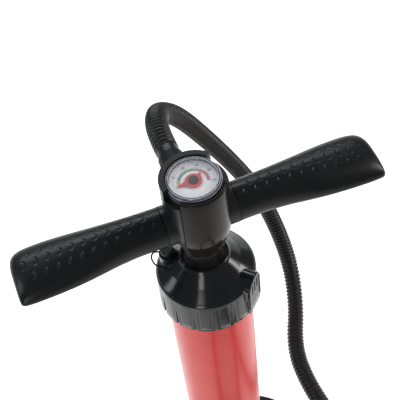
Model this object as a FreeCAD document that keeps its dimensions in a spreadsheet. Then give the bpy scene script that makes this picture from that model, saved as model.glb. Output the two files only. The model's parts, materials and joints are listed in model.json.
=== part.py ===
import FreeCAD, Part
import math
import os
import Sketcher

# Upright high-pressure hand pump: a foot plate, a barrel with a screwed cap, a
# piston on a hollow rod, and a T-handle whose hub holds a pressure gauge and the
# hose.  Row frame: origin on the floor under the barrel's centre, +Z up the rod,
# +X along the right grip, +Y to the back, where the hose leaves the hub.  All mm.

DIMENSIONS = {
    # foot plate
    "rubber_foot_height": 4, "plate_half_length": 105, "plate_half_depth": 78,
    "foot_pad_radius": 10, "plate_top": 16, "plate_skin": 3, "plate_rib": 3,
    "plate_wall": 4, "socket_radius": 54,
    "socket_top": 52, "tread_height": 2.5, "tread_start": 60, "tread_margin": 9,
    # barrel and its bottom cap
    "barrel_radius": 45, "barrel_wall": 3, "barrel_foot": 24, "barrel_rim": 470,
    "bottom_cap_top": 36, "seal_section": 1.05, "seal_groove": 2.2, "slip": 0.2,
    # screwed top cap, its cone and its ribbed collar
    "collar_radius": 52.6, "collar_floor": 433, "shoulder_radius": 51.1,
    "shoulder_height": 474.7, "lip_radius": 49.6, "lip_height": 476.4,
    "flare_radius": 37, "flare_height": 487, "ring_radius": 24.6, "ring_height": 500,
    "bush_radius": 20.85, "cap_ceiling": 472, "cap_inner_radius": 38,
    "bush_floor": 484, "bush_length": 14.5, "rod_seal_length": 4,
    "rib_count": 16, "rib_width": 3.4, "rib_depth": 1.2, "rib_height": 34,
    # side intake on the cap
    "port_face": 54, "port_radius": 13, "port_height": 472, "port_turn": -46,
    "duct_radius": 4.5, "duct_height": 477.5, "valve_pocket": 6.6,
    "valve_radius": 6.3, "valve_thickness": 1.2, "valve_face": 46.8, "grille_slot": 2.2,
    "grille_thickness": 1.5, "grille_half_width": 10.5, "grille_floor": 441,
    # selector plug on the cap
    "plug_across": -33, "plug_back": 18, "plug_radius": 7, "plug_stem": 4,
    "plug_seat": 494, "plug_top": 501.5, "plug_foot": 480, "plug_boss_radius": 9,
    # rod and piston
    "rod_radius": 14, "rod_bore": 10.5, "rod_foot": 50, "rod_head": 531,
    "piston_radius": 41.6, "piston_floor": 36.4, "piston_top": 58,
    "piston_boss_radius": 19, "piston_boss_top": 78, "piston_seal_height": 47,
    "piston_pin_radius": 2.5, "piston_pin_length": 36, "piston_pin_height": 69,
    "vent_radius": 3, "vent_ring": 29, "piston_valve_inner": 21,
    "piston_valve_outer": 35, "piston_valve_thickness": 1.3, "running_gap": 0.06,
    # hub
    "handle_height": 562, "hub_radius": 32, "hub_rim": 618, "cup_radius": 26.6,
    "cup_floor": 588, "neck_floor": 508, "neck_radius": 18.5, "neck_seam": 522,
    "seam_radius": 20.5, "taper_start": 530, "taper_radius": 24, "hub_shoulder": 556,
    "air_bore": 6, "side_boss_radius": 20, "side_boss_reach": 36,
    "cover_thickness": 2.6, "cover_start": -134, "cover_sweep": 104,
    "cover_top": 614.5, "rim_front": 606, "rim_cut_start": -170, "rim_cut_sweep": 210,
    "back_boss_radius": 15,
    # handle cores and grips
    "core_radius": 11, "core_bore": 8.5, "core_start": 12, "core_end": 160,
    "grip_start": 36.4, "grip_end": 181.5, "grip_screw_across": 52,
    # gauge
    "case_radius": 26.3, "case_floor": 589, "case_rim": 606, "case_wall": 1.6,
    "dial_radius": 22.6, "dial_face": 611, "dial_thickness": 1, "lens_top": 617,
    "lens_thickness": 1.6, "bezel_radius": 24.5, "bezel_top": 613.2,
    "needle_floor": 611.8, "needle_thickness": 0.9, "needle_hub": 8,
    "needle_reach": 15.5, "needle_tail": 10.5, "needle_cap_radius": 4.7,
    "needle_cap_top": 614.4, "spindle_radius": 1.5, "spindle_foot": 596,
    "stem_foot": 568, "stem_step": 6, "bourdon_ring": 17, "bourdon_section": 2.2,
    "bourdon_height": 600, "movement_length": 17, "movement_width": 13,
    "movement_height": 14, "needle_root": 4.2, "needle_tip": 0.5,
    # hose and its fittings
    "hose_radius": 12.5, "port_start": 36, "nut_radius": 16.8,
    "nut_start": 41, "nut_end": 51.5, "cuff_start": 51.8, "cuff_end": 78,
    "cuff_radius": 13.8, "cuff_taper": 12, "barb_radius": 10,
    # put-away coil on the floor and the nozzle on it
    "coil_across": 14, "coil_forward": -241, "coil_radius": 140,
    "coil_inner_radius": 100.5, "coil_outer_radius": 153, "coil_lift": 1.3,
    "tie_width": 20, "tie_thickness": 1.2, "tie_height": 56, "tie_turn": -8,
    "nozzle_lift": 43.6, "nozzle_body_radius": 15, "nozzle_neck_radius": 12,
    "spigot_radius": 9.5, "nozzle_bore": 5,
}

# Free hose, from the cuff's end over the back, down to the floor behind the right
# grip and forward past the foot plate.  Chosen by hand.
HOSE_ROUTE = [
    (0, 78, 562),
    (0, 112, 559.5),
    (6, 147, 547),
    (19, 185, 518.5),
    (48, 223, 464),
    (86, 248, 382),
    (131, 264, 284),
    (168, 264, 195),
    (190.5, 227, 87),
    (179, 172, 34),
    (148, 112, 13),
    (142, 52, 12.7),
    (150, -20, 12.7),
    (154, -85, 12.7),
    (154.5, -140, 12.7),
]
ENTRY_TURN = 0.0        # degrees round the coil where the hose joins it
LEAD_START = -270.0     # where the last stretch starts to rise off the floor
LEAD_END = -400.0       # where the nozzle begins, on top of the turn
LEAD_STEPS = 6
ARC_SHARE = 0.45        # share of the shorter run that a bend's arc may use
TRIM_ALLOWANCE = 2      # the free hose is made this much longer, then cut flush at the cuff
COIL_CHAMFER = 5

doc = FreeCAD.newDocument("hand_pump")
X_AXIS = FreeCAD.Vector(1, 0, 0)
Y_AXIS = FreeCAD.Vector(0, 1, 0)
Z_AXIS = FreeCAD.Vector(0, 0, 1)
nodes = {}


class Size:
    """A spreadsheet expression together with its present value."""

    def __init__(self, text, value):
        self.text = text
        self.value = value

    def __add__(self, other):
        other = size_of(other)
        return Size(f"({self.text} + {other.text})", self.value + other.value)

    def __sub__(self, other):
        other = size_of(other)
        return Size(f"({self.text} - {other.text})", self.value - other.value)

    def __mul__(self, number):
        return Size(f"({self.text} * {number})", self.value * number)

    def __neg__(self):
        return self * -1


def size_of(number):
    if isinstance(number, Size):
        return number
    return Size(f"({number})", number)


def fill_sheet(table):
    """Write the driving dimensions to a spreadsheet and return them by name."""
    sheet = doc.addObject("Spreadsheet::Sheet", "dims")
    sizes = {}
    for row, (name, value) in enumerate(table.items(), start=1):
        sheet.set(f"A{row}", name)
        sheet.set(f"B{row}", str(value))
        sheet.setAlias(f"B{row}", name)
        sizes[name] = Size(f"dims.{name}", value)
    doc.recompute()
    return sizes


D = fill_sheet(DIMENSIONS)


def node(obj, name):
    """Name a finished sub-part."""
    obj.Label = name
    nodes[name] = obj
    return obj


def bind(obj, **sizes):
    for prop, size in sizes.items():
        obj.setExpression(prop, size_of(size).text)


def place(obj, x=0, y=0, z=0):
    for letter, size in (("x", x), ("y", y), ("z", z)):
        obj.setExpression(f"Placement.Base.{letter}", size_of(size).text)


def turn_to(obj, axis):
    """Point an object's own Z axis along axis."""
    obj.Placement = FreeCAD.Placement(FreeCAD.Vector(), FreeCAD.Rotation(Z_AXIS, axis))


def cylinder(name, radius, length, x=0, y=0, z=0, axis=Z_AXIS):
    obj = doc.addObject("Part::Cylinder", name)
    bind(obj, Radius=radius, Height=length)
    turn_to(obj, axis)
    place(obj, x, y, z)
    return obj


def block(name, length, width, height):
    obj = doc.addObject("Part::Box", name)
    bind(obj, Length=length, Width=width, Height=height)
    return obj


def box(name, length, width, height, x=0, y=0, z=0):
    obj = block(name, length, width, height)
    place(obj, x, y, z)
    return obj


def torus(name, ring_radius, section_radius, z, sweep=360):
    obj = doc.addObject("Part::Torus", name)
    bind(obj, Radius1=ring_radius, Radius2=section_radius, Angle3=sweep)
    place(obj, 0, 0, z)
    return obj


def cut(name, base, *tools):
    obj = doc.addObject("Part::Cut", name)
    obj.Base = base
    obj.Tool = tools[0] if len(tools) == 1 else fuse(name + "_tools", *tools)
    return obj


def fuse(name, *shapes):
    obj = doc.addObject("Part::MultiFuse", name)
    obj.Shapes = list(shapes)
    return obj


def common(name, first, second):
    obj = doc.addObject("Part::MultiCommon", name)
    obj.Shapes = [first, second]
    return obj


def oval(name, half_length, half_depth, floor, height):
    """An upright oval block."""
    edge = doc.addObject("Part::Ellipse", name + "_edge")
    bind(edge, MajorRadius=half_length, MinorRadius=half_depth)
    place(edge, 0, 0, floor)
    slab = doc.addObject("Part::Extrusion", name)
    slab.Base = edge
    slab.DirMode = "Custom"
    slab.Dir = Z_AXIS
    slab.Solid = True
    bind(slab, LengthFwd=height)
    return slab


def origin_plane(body, role):
    for feature in body.Origin.OriginFeatures:
        if feature.Role == role:
            return feature
    raise ValueError(role)


def turned(name, outline):
    """A body turned about its own Z axis from an outline of (radius, height) sizes."""
    body = doc.addObject("PartDesign::Body", name)
    sketch = body.newObject("Sketcher::SketchObject", name + "_outline")
    sketch.AttachmentSupport = [(origin_plane(body, "XZ_Plane"), "")]
    sketch.MapMode = "FlatFace"
    corners = [(size_of(radius), size_of(height)) for radius, height in outline]
    count = len(corners)
    for index, (radius, height) in enumerate(corners):
        next_radius, next_height = corners[(index + 1) % count]
        start = FreeCAD.Vector(radius.value, height.value, 0)
        end = FreeCAD.Vector(next_radius.value, next_height.value, 0)
        sketch.addGeometry(Part.LineSegment(start, end), False)
    for index, (radius, height) in enumerate(corners):
        sketch.addConstraint(Sketcher.Constraint("Coincident", index, 2, (index + 1) % count, 1))
        if radius.value == 0:
            sketch.addConstraint(Sketcher.Constraint("PointOnObject", index, 1, -2))
        else:
            across = sketch.addConstraint(
                Sketcher.Constraint("DistanceX", -1, 1, index, 1, radius.value))
            sketch.setExpression(f"Constraints[{across}]", radius.text)
        if height.value == 0:
            sketch.addConstraint(Sketcher.Constraint("PointOnObject", index, 1, -1))
        else:
            up = sketch.addConstraint(
                Sketcher.Constraint("DistanceY", -1, 1, index, 1, height.value))
            sketch.setExpression(f"Constraints[{up}]", height.text)
    revolution = body.newObject("PartDesign::Revolution", name + "_turned")
    revolution.Profile = sketch
    revolution.ReferenceAxis = (sketch, ["V_Axis"])
    revolution.Angle = 360
    sketch.Visibility = False
    return body


def ring(name, inner, outer, floor, top):
    return turned(name, [(inner, floor), (outer, floor), (outer, top), (inner, top)])


def shape_feature(name, shape):
    obj = doc.addObject("Part::Feature", name)
    obj.Shape = shape
    return obj


# ---------------------------------------------------------------- foot plate

BASE_SCREW_RADIUS = 30
BASE_SCREW_COUNT = 4
BASE_SCREW_SEAT = 7.0
BASE_SCREW_LENGTH = 18.0
SCREW_SHANK = 2.0
SCREW_HEAD = 4.0
SCREW_HEAD_HEIGHT = 3.0
UNDER_STEP = 6              # the shallow round pocket under the socket
FOOT_PLACES = [(72, 30), (-72, 30), (-72, -30), (72, -30)]
CLEAR = 60                  # how far a cutting tool reaches past the part
SWALLOW = 700               # a height that takes in the whole pump


def base_screw_places():
    for index in range(BASE_SCREW_COUNT):
        angle = math.radians(45 + 360 / BASE_SCREW_COUNT * index)
        yield index, BASE_SCREW_RADIUS * math.cos(angle), BASE_SCREW_RADIUS * math.sin(angle)


def screw_holes(prefix, radius, floor, height):
    return [cylinder(f"{prefix}_{i}", radius, height, x, y, floor)
            for i, x, y in base_screw_places()]


def make_base_plate():
    foot = D["rubber_foot_height"]
    top = D["plate_top"]
    skin = top - D["plate_skin"]
    wall = D["plate_wall"]
    plate = oval("plate_block", D["plate_half_length"], D["plate_half_depth"], foot, top - foot)
    hollow = oval("plate_hollow", D["plate_half_length"] - wall, D["plate_half_depth"] - wall,
                  foot, skin - foot)
    socket = cylinder("plate_socket", D["socket_radius"], D["socket_top"] - foot, z=foot)
    ribs = [cylinder("plate_boss", D["socket_radius"], skin - foot, z=foot)]
    rib = D["plate_rib"]
    ribs.append(box("plate_rib_long", D["plate_half_length"] * 2 - wall, rib, skin - foot,
                    wall * 0.5 - D["plate_half_length"], rib * -0.5, foot))
    ribs.append(box("plate_rib_cross", rib, D["plate_half_depth"] * 2 - wall, skin - foot,
                    rib * -0.5, wall * 0.5 - D["plate_half_depth"], foot))
    pads = []
    for index, (x, y) in enumerate(FOOT_PLACES):
        pads.append(cylinder(f"plate_foot_boss_{index}", D["foot_pad_radius"] + 1, skin - foot,
                             x, y, foot))
    shell = cut("plate_shell", plate, hollow)
    solid = fuse("plate_solid", shell, socket, *ribs, *pads)
    barrel_hole = cylinder("plate_barrel_hole", D["barrel_radius"] + D["slip"],
                           D["socket_top"], z=top)
    under = cylinder("plate_under", D["socket_radius"] - UNDER_STEP, UNDER_STEP, z=foot)
    holes = screw_holes("plate_screw_hole", SCREW_SHANK + 0.2, foot, D["plate_top"])
    return node(cut("base_plate_body", solid, barrel_hole, under, *holes), "base_plate")


def make_base_feet():
    feet = [cylinder(f"rubber_foot_{index}", D["foot_pad_radius"], D["rubber_foot_height"], x, y)
            for index, (x, y) in enumerate(FOOT_PLACES)]
    return node(fuse("base_feet_group", *feet), "base_feet")


def make_tread(side, sign):
    margin = D["tread_margin"]
    slab = oval(f"tread_slab_{side}", D["plate_half_length"] - margin,
                D["plate_half_depth"] - margin, D["plate_top"], D["tread_height"])
    reach = D["plate_half_length"] - D["tread_start"]
    start = D["tread_start"] if sign > 0 else -D["plate_half_length"]
    window = box(f"tread_window_{side}", reach, D["plate_half_depth"] * 2, CLEAR,
                 start, -D["plate_half_depth"], D["plate_top"])
    return node(common(f"tread_body_{side}", slab, window), f"foot_tread_{side}")


def make_base_screws():
    screws = []
    for index, x, y in base_screw_places():
        cap = cylinder(f"base_screw_head_{index}", SCREW_HEAD, SCREW_HEAD_HEIGHT, x, y,
                       BASE_SCREW_SEAT)
        shank = cylinder(f"base_screw_shank_{index}", SCREW_SHANK, BASE_SCREW_LENGTH, x, y,
                         BASE_SCREW_SEAT + SCREW_HEAD_HEIGHT)
        screws.append(fuse(f"base_screw_{index}", cap, shank))
    return node(fuse("base_screw_group", *screws), "base_screws")


# -------------------------------------------------------------------- barrel

def barrel_bore():
    return D["barrel_radius"] - D["barrel_wall"]


def make_bottom_cap():
    fit = barrel_bore() - D["slip"]
    groove = barrel_bore() - D["seal_groove"]
    seal = seal_height()
    half = D["seal_section"] + 0.15
    blank = turned("bottom_cap_blank", [
        (0, D["plate_top"]), (D["barrel_radius"], D["plate_top"]),
        (D["barrel_radius"], D["barrel_foot"]), (fit, D["barrel_foot"]),
        (fit, seal - half), (groove, seal - half), (groove, seal + half), (fit, seal + half),
        (fit, D["bottom_cap_top"]), (0, D["bottom_cap_top"])])
    holes = screw_holes("bottom_cap_hole", SCREW_SHANK + 0.05, D["plate_top"],
                        BASE_SCREW_LENGTH - 4)
    return node(cut("bottom_cap_body", blank, *holes), "bottom_cap")


def seal_height():
    return D["barrel_foot"] + 6


def make_barrel():
    node(ring("barrel_body", barrel_bore(), D["barrel_radius"], D["barrel_foot"],
              D["barrel_rim"]), "barrel_tube")
    node(torus("bottom_seal_ring", barrel_bore() - D["seal_section"] - 0.05,
               D["seal_section"], seal_height()), "bottom_seal")
    node(ring("top_seal_ring", barrel_bore() + 0.4, D["barrel_radius"] - 0.2,
              D["barrel_rim"], D["cap_ceiling"]), "top_seal")


# ------------------------------------------------------------------- top cap

PORT_ROOT = 26              # where the intake boss starts inside the cap
PANEL_ROOT = 44
GRILLE_SLOT_PITCH = 5.5
GRILLE_SLOT_FLOOR = 460
GRILLE_SLOT_HEIGHT = 16


def port_frame(distance, height):
    """Placement whose Z axis points out of the side intake."""
    angle = math.radians(D["port_turn"].value)
    outward = FreeCAD.Vector(math.cos(angle), math.sin(angle), 0)
    sideways = FreeCAD.Vector(-math.sin(angle), math.cos(angle), 0)
    matrix = FreeCAD.Matrix(
        sideways.x, Z_AXIS.x, outward.x, outward.x * distance,
        sideways.y, Z_AXIS.y, outward.y, outward.y * distance,
        sideways.z, Z_AXIS.z, outward.z, height)
    return FreeCAD.Placement(matrix)


def port_cylinder(name, radius, start, length, height):
    obj = doc.addObject("Part::Cylinder", name)
    bind(obj, Radius=radius, Height=length)
    obj.Placement = port_frame(start, height.value)
    return obj


def port_block(name, half_width, start, length, floor, top):
    """A block under the intake, half_width each side of its centre line."""
    obj = block(name, half_width * 2, top - floor, length)
    frame = port_frame(start, floor.value)
    frame.Base = frame.multVec(FreeCAD.Vector(-half_width.value, 0, 0))
    obj.Placement = frame
    return obj


def rib_grooves():
    """Upright grooves round the collar, left out where the intake stands."""
    tools = []
    count = int(D["rib_count"].value)
    for index in range(count):
        angle = D["port_turn"].value + 360 / count * (index + 0.5)
        if index in (0, count - 1):
            continue
        groove = block(f"collar_groove_{index}", D["rib_depth"] * 2, D["rib_width"],
                       D["rib_height"])
        turn = FreeCAD.Rotation(Z_AXIS, angle)
        corner = FreeCAD.Vector(D["collar_radius"].value - D["rib_depth"].value,
                                -D["rib_width"].value / 2, D["collar_floor"].value - 1)
        groove.Placement = FreeCAD.Placement(turn.multVec(corner), turn)
        tools.append(groove)
    return tools


def make_top_cap():
    inner = D["barrel_radius"] + D["slip"] * 2
    bore = D["bush_radius"] + 0.05
    blank = turned("top_cap_blank", [
        (0, D["collar_floor"]), (D["collar_radius"], D["collar_floor"]),
        (D["shoulder_radius"], D["shoulder_height"]), (D["lip_radius"], D["lip_height"]),
        (D["flare_radius"], D["flare_height"]), (D["ring_radius"], D["ring_height"] - 1),
        (D["ring_radius"] - 1, D["ring_height"]), (0, D["ring_height"])])
    boss = port_cylinder("port_boss", D["port_radius"], PORT_ROOT, D["port_face"] - PORT_ROOT,
                         D["port_height"])
    panel = port_block("port_panel", D["port_radius"] - 0.5, PANEL_ROOT,
                       D["port_face"] - PANEL_ROOT, D["collar_floor"], D["port_height"])
    plug_boss = cylinder("plug_boss", D["plug_boss_radius"], D["plug_seat"] - D["cap_ceiling"] - 4,
                         D["plug_across"], D["plug_back"], D["cap_ceiling"] + 4)
    solid = fuse("top_cap_solid", blank, boss, panel, plug_boss)
    room = turned("top_cap_room", [
        (0, D["collar_floor"] - 5), (inner, D["collar_floor"] - 5), (inner, D["cap_ceiling"]),
        (D["cap_inner_radius"], D["cap_ceiling"]),
        (D["bush_radius"] - 3, D["bush_floor"] - D["rod_seal_length"] - 3),
        (D["bush_radius"] - 3, D["bush_floor"] - D["rod_seal_length"]),
        (bore, D["bush_floor"] - D["rod_seal_length"]), (bore, D["ring_height"] + 5),
        (0, D["ring_height"] + 5)])
    duct = port_cylinder("port_duct", D["duct_radius"], PORT_ROOT + 4, D["port_face"],
                         D["duct_height"])
    pocket = port_cylinder("port_pocket", D["valve_pocket"], D["valve_face"].value - 0.3, CLEAR,
                           D["duct_height"] - 0.5)
    recess = port_block("port_recess", D["grille_half_width"] - 0.3, D["port_face"].value
                        - D["grille_thickness"].value, CLEAR, D["grille_floor"],
                        D["port_height"])
    recess_arch = port_cylinder("port_recess_arch", D["grille_half_width"] + 0.1,
                                D["port_face"].value - D["grille_thickness"].value, CLEAR,
                                D["port_height"])
    stem_hole = cylinder("plug_hole", D["plug_stem"] + 0.1, CLEAR, D["plug_across"],
                         D["plug_back"], D["cap_ceiling"] - 5)
    cap = cut("top_cap_body", solid, room, duct, pocket, recess, recess_arch, stem_hole,
              *rib_grooves())
    return node(cap, "top_cap")


def make_intake():
    start = D["port_face"].value - D["grille_thickness"].value
    plate = port_block("grille_plate", D["grille_half_width"] - 0.4, start, D["grille_thickness"],
                       D["grille_floor"], D["port_height"])
    arch = port_cylinder("grille_arch", D["grille_half_width"], start, D["grille_thickness"],
                         D["port_height"])
    slots = []
    for index in range(3):
        slot = block(f"grille_slot_{index}", D["grille_slot"], GRILLE_SLOT_HEIGHT,
                     D["grille_thickness"] * 4)
        frame = port_frame(start - 2, GRILLE_SLOT_FLOOR)
        across = GRILLE_SLOT_PITCH * (index - 1) - D["grille_slot"].value / 2
        frame.Base = frame.multVec(FreeCAD.Vector(across, 0, 0))
        slot.Placement = frame
        slots.append(slot)
    node(cut("grille_body", fuse("grille_solid", plate, arch), *slots), "intake_grille")
    flap = port_cylinder("intake_flap", D["valve_radius"], D["valve_face"].value,
                         D["valve_thickness"], D["duct_height"] - 0.5)
    node(flap, "intake_valve")


def make_bush_and_seal():
    running = D["rod_radius"] + D["running_gap"]
    seat = D["bush_floor"]
    node(ring("rod_bush_ring", running, D["bush_radius"], seat, seat + D["bush_length"]),
         "rod_bush")
    node(ring("rod_seal_ring", running, D["bush_radius"], seat - D["rod_seal_length"], seat),
         "rod_seal")


def make_plug():
    plug = turned("plug_blank", [
        (0, D["plug_foot"]), (D["plug_stem"], D["plug_foot"]), (D["plug_stem"], D["plug_seat"]),
        (D["plug_radius"], D["plug_seat"]), (D["plug_radius"], D["plug_top"] - 1.5),
        (D["plug_radius"] - 1.5, D["plug_top"]), (0, D["plug_top"])])
    place(plug, D["plug_across"], D["plug_back"], 0)
    node(plug, "mode_plug")


# From beside the plug's head, out over the cone's edge and back down to the cone.
# Chosen by hand.
TETHER_ROUTE = [
    (-40.6, 20.5, 497),
    (-46.5, 22.5, 497.5),
    (-50.5, 18.5, 495.5),
    (-49.5, 12.5, 491),
    (-45.5, 10.5, 486.5),
    (-41.7, 11.1, 483.3),
]
TETHER_RADIUS = 0.9


def make_tether():
    """A thin strap loop that keeps the pulled plug on the cap."""
    points = [FreeCAD.Vector(*point) for point in TETHER_ROUTE]
    strap, _, _ = tube("plug_tether_strap", points, TETHER_RADIUS)
    node(strap, "plug_tether")


# ------------------------------------------------------------ rod and piston

VENT_COUNT = 6


def make_piston():
    groove = barrel_bore() - D["seal_groove"]
    seal = D["piston_seal_height"]
    half = D["seal_section"] + 0.15
    boss = D["piston_boss_radius"]
    blank = turned("piston_blank", [
        (0, D["piston_floor"]), (D["piston_radius"], D["piston_floor"]),
        (D["piston_radius"], seal - half), (groove, seal - half), (groove, seal + half),
        (D["piston_radius"], seal + half), (D["piston_radius"], D["piston_top"]),
        (boss, D["piston_top"]), (boss, D["piston_boss_top"]), (0, D["piston_boss_top"])])
    socket = cylinder("piston_socket", D["rod_radius"] + 0.02, CLEAR, z=D["rod_foot"])
    mouth = cylinder("piston_mouth", D["rod_bore"], CLEAR, z=D["piston_floor"] - 1)
    pin = D["piston_pin_length"]
    tools = [socket, mouth, piston_pin_block("piston_pin_hole", 0.02, pin + 14)]
    for index in range(VENT_COUNT):
        angle = 2 * math.pi * index / VENT_COUNT
        tools.append(cylinder(f"piston_vent_{index}", D["vent_radius"], CLEAR,
                              D["vent_ring"] * math.cos(angle),
                              D["vent_ring"] * math.sin(angle), D["piston_floor"] - 1))
    node(cut("piston_body", blank, *tools), "piston")
    node(torus("piston_ring_body", barrel_bore() - D["seal_section"] - D["running_gap"],
               D["seal_section"], seal), "piston_ring")
    valve = D["piston_top"] + 0.1
    node(ring("piston_valve_disc", D["piston_valve_inner"], D["piston_valve_outer"], valve,
              valve + D["piston_valve_thickness"]), "piston_valve")
    tube_blank = ring("rod_blank", D["rod_bore"], D["rod_radius"], D["rod_foot"], D["rod_head"])
    node(cut("rod_body", tube_blank, piston_pin_block("rod_pin_hole", 0.02, pin + 14)),
         "pump_rod")
    node(piston_pin_block("piston_pin_body", 0, pin), "piston_pin")


def piston_pin_block(name, extra, length):
    return cylinder(name, D["piston_pin_radius"] + extra, length, x=length * -0.5,
                    z=D["piston_pin_height"], axis=X_AXIS)


# ----------------------------------------------------------------------- hub

NOTCH_RADIUS = 7            # arched cut-outs each side of the neck
NOTCH_ACROSS = 26


def hub_outline(inset, floor, top):
    return [(0, floor), (D["neck_radius"] - inset, floor), (D["seam_radius"] - inset,
            D["neck_seam"]), (D["taper_radius"] - inset, D["taper_start"]),
            (D["hub_radius"] - inset, D["hub_shoulder"]), (D["hub_radius"] - inset, top), (0, top)]


def sector(name, start, sweep, floor, height):
    obj = doc.addObject("Part::Cylinder", name)
    bind(obj, Radius=CLEAR, Height=height, Angle=sweep)
    obj.Placement = FreeCAD.Placement(FreeCAD.Vector(), FreeCAD.Rotation(Z_AXIS, start.value))
    place(obj, 0, 0, floor)
    return obj


def side_boss(name, extra):
    reach = D["side_boss_reach"]
    return cylinder(name, D["side_boss_radius"] + extra, reach * 2, x=-reach,
                    z=D["handle_height"], axis=X_AXIS)


def make_hub():
    axis_height = D["handle_height"]
    floor = D["neck_floor"]
    blank = turned("hub_blank", hub_outline(0, floor, D["hub_rim"]))
    seat_blank = turned("hub_seat_blank", hub_outline(D["cover_thickness"] + 0.1, floor,
                                                      D["hub_rim"]))
    front = sector("hub_front_sector", D["cover_start"] - 0.4, D["cover_sweep"] + 0.8, 0,
                   SWALLOW)
    front_skin = common("hub_front_skin", cut("hub_skin", blank, seat_blank), front)
    rim_room = sector("hub_rim_sector", D["rim_cut_start"], D["rim_cut_sweep"],
                      D["rim_front"], CLEAR)
    back_boss = cylinder("hub_back_boss", D["back_boss_radius"], D["port_start"],
                         z=axis_height, axis=Y_AXIS)
    solid = fuse("hub_solid", cut("hub_open_front", blank, front_skin), side_boss("hub_arms", 0),
                 back_boss)
    cup = cylinder("hub_cup", D["cup_radius"], CLEAR, z=D["cup_floor"])
    rod_hole = cylinder("hub_rod_hole", D["rod_radius"] + 0.02, D["rod_head"] - floor + 1,
                        z=floor - 1)
    air = cylinder("hub_air_bore", D["air_bore"], D["hub_rim"] - floor, z=floor)
    core_right = cylinder("hub_core_right", D["core_radius"] + 0.02, CLEAR, x=D["core_start"],
                          z=axis_height, axis=X_AXIS)
    core_left = cylinder("hub_core_left", D["core_radius"] + 0.02, CLEAR, x=-D["core_start"],
                         z=axis_height, axis=-X_AXIS)
    hose_hole = cylinder("hub_hose_hole", D["air_bore"], CLEAR, z=axis_height, axis=Y_AXIS)
    notches = [cylinder(f"hub_notch_{tag}", NOTCH_RADIUS, CLEAR * 2, x=NOTCH_ACROSS * sign,
                        y=-CLEAR, z=floor + NOTCH_RADIUS, axis=Y_AXIS)
               for tag, sign in (("right", 1), ("left", -1))]
    node(cut("hub_body", solid, cup, rod_hole, air, core_right, core_left, hose_hole,
             rim_room, *notches), "gauge_housing")
    cover_blank = turned("cover_blank", hub_outline(0, floor, D["cover_top"]))
    cover_core = turned("cover_core", hub_outline(D["cover_thickness"], floor - 1,
                                                  D["cover_top"] + 1))
    cover_sector = sector("cover_sector", D["cover_start"], D["cover_sweep"], 0, SWALLOW)
    shell = common("cover_shell", cut("cover_skin", cover_blank, cover_core), cover_sector)
    lens_room = cylinder("cover_lens_room", D["cup_radius"], CLEAR, z=D["cup_floor"])
    node(cut("cover_body", shell, side_boss("cover_arm_room", 0.2), lens_room), "hub_front_cover")


# --------------------------------------------------------------------- grips

# Stations along the right grip: share of its length, then half depth at the back
# and front, height above and below the axis.
GRIP_STATIONS = [
    (0.00, 19.5, 20.5, 20.0, 18.5),
    (0.25, 21.0, 22.0, 20.0, 19.0),
    (0.50, 24.5, 26.0, 19.0, 18.0),
    (0.75, 28.0, 30.0, 17.0, 16.0),
    (0.92, 27.5, 30.5, 15.0, 13.5),
    (1.00, 21.0, 26.0, 9.0, 8.0),
]
SECTION_POINTS = 24
GRIP_SCREW_SEAT = 14        # depth of the screw heads' seat under the axis
GRIP_SCREW_LENGTH = 7


def grip_section(x, back, front, above, below):
    points = []
    for index in range(SECTION_POINTS):
        angle = 2 * math.pi * index / SECTION_POINTS
        side = math.cos(angle)
        up = math.sin(angle)
        y = side * (back if side > 0 else front)
        z = up * (above if up > 0 else below)
        points.append(FreeCAD.Vector(x, y, D["handle_height"].value + z))
    curve = Part.BSplineCurve()
    curve.interpolate(points, PeriodicFlag=True)
    return Part.Wire(curve.toShape())


def make_grip(side, sign):
    start = D["grip_start"].value
    length = D["grip_end"].value - start
    sections = [grip_section(sign * (start + share * length), back, front, above, below)
                for share, back, front, above, below in GRIP_STATIONS]
    solid = shape_feature(f"grip_solid_{side}", Part.makeLoft(sections, True))
    bore = cylinder(f"grip_bore_{side}", D["core_radius"] + 0.02, D["core_end"] - 20,
                    x=D["grip_start"] * sign - sign, z=D["handle_height"], axis=X_AXIS * sign)
    screw_hole = cylinder(f"grip_screw_hole_{side}", SCREW_SHANK + 0.1, CLEAR,
                          x=D["grip_screw_across"] * sign, z=D["handle_height"] - CLEAR)
    head_hole = cylinder(f"grip_screw_head_{side}", SCREW_HEAD + 0.2, CLEAR,
                         x=D["grip_screw_across"] * sign,
                         z=D["handle_height"] - GRIP_SCREW_SEAT - CLEAR)
    return node(cut(f"grip_body_{side}", solid, bore, screw_hole, head_hole), f"grip_{side}")


def make_core(side, sign):
    length = D["core_end"] - D["core_start"]
    outer = cylinder(f"core_outer_{side}", D["core_radius"], length, x=D["core_start"] * sign,
                     z=D["handle_height"], axis=X_AXIS * sign)
    inner = cylinder(f"core_inner_{side}", D["core_bore"], length + 2,
                     x=(D["core_start"] - 1) * sign, z=D["handle_height"], axis=X_AXIS * sign)
    hole = cylinder(f"core_screw_hole_{side}", SCREW_SHANK + 0.05, D["core_radius"],
                    x=D["grip_screw_across"] * sign, z=D["handle_height"] - D["core_radius"])
    return node(cut(f"core_body_{side}", outer, inner, hole), f"handle_core_{side}")


def make_grip_screws():
    screws = []
    for side, sign in (("right", 1), ("left", -1)):
        x = D["grip_screw_across"] * sign
        seat = D["handle_height"] - GRIP_SCREW_SEAT - 0.1
        head = cylinder(f"grip_screw_cap_{side}", SCREW_HEAD, SCREW_HEAD_HEIGHT, x=x,
                        z=seat - SCREW_HEAD_HEIGHT)
        shank = cylinder(f"grip_screw_rod_{side}", SCREW_SHANK, GRIP_SCREW_LENGTH, x=x, z=seat)
        screws.append(fuse(f"grip_screw_{side}", head, shank))
    return node(fuse("grip_screw_group", *screws), "grip_screws")


# --------------------------------------------------------------------- gauge

BOURDON_SWEEP = 255
NEEDLE_TURN = 184           # degrees from +X: the dial's zero
TAIL_TURN = 34
LENS_CHAMFER = 1.6


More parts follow.
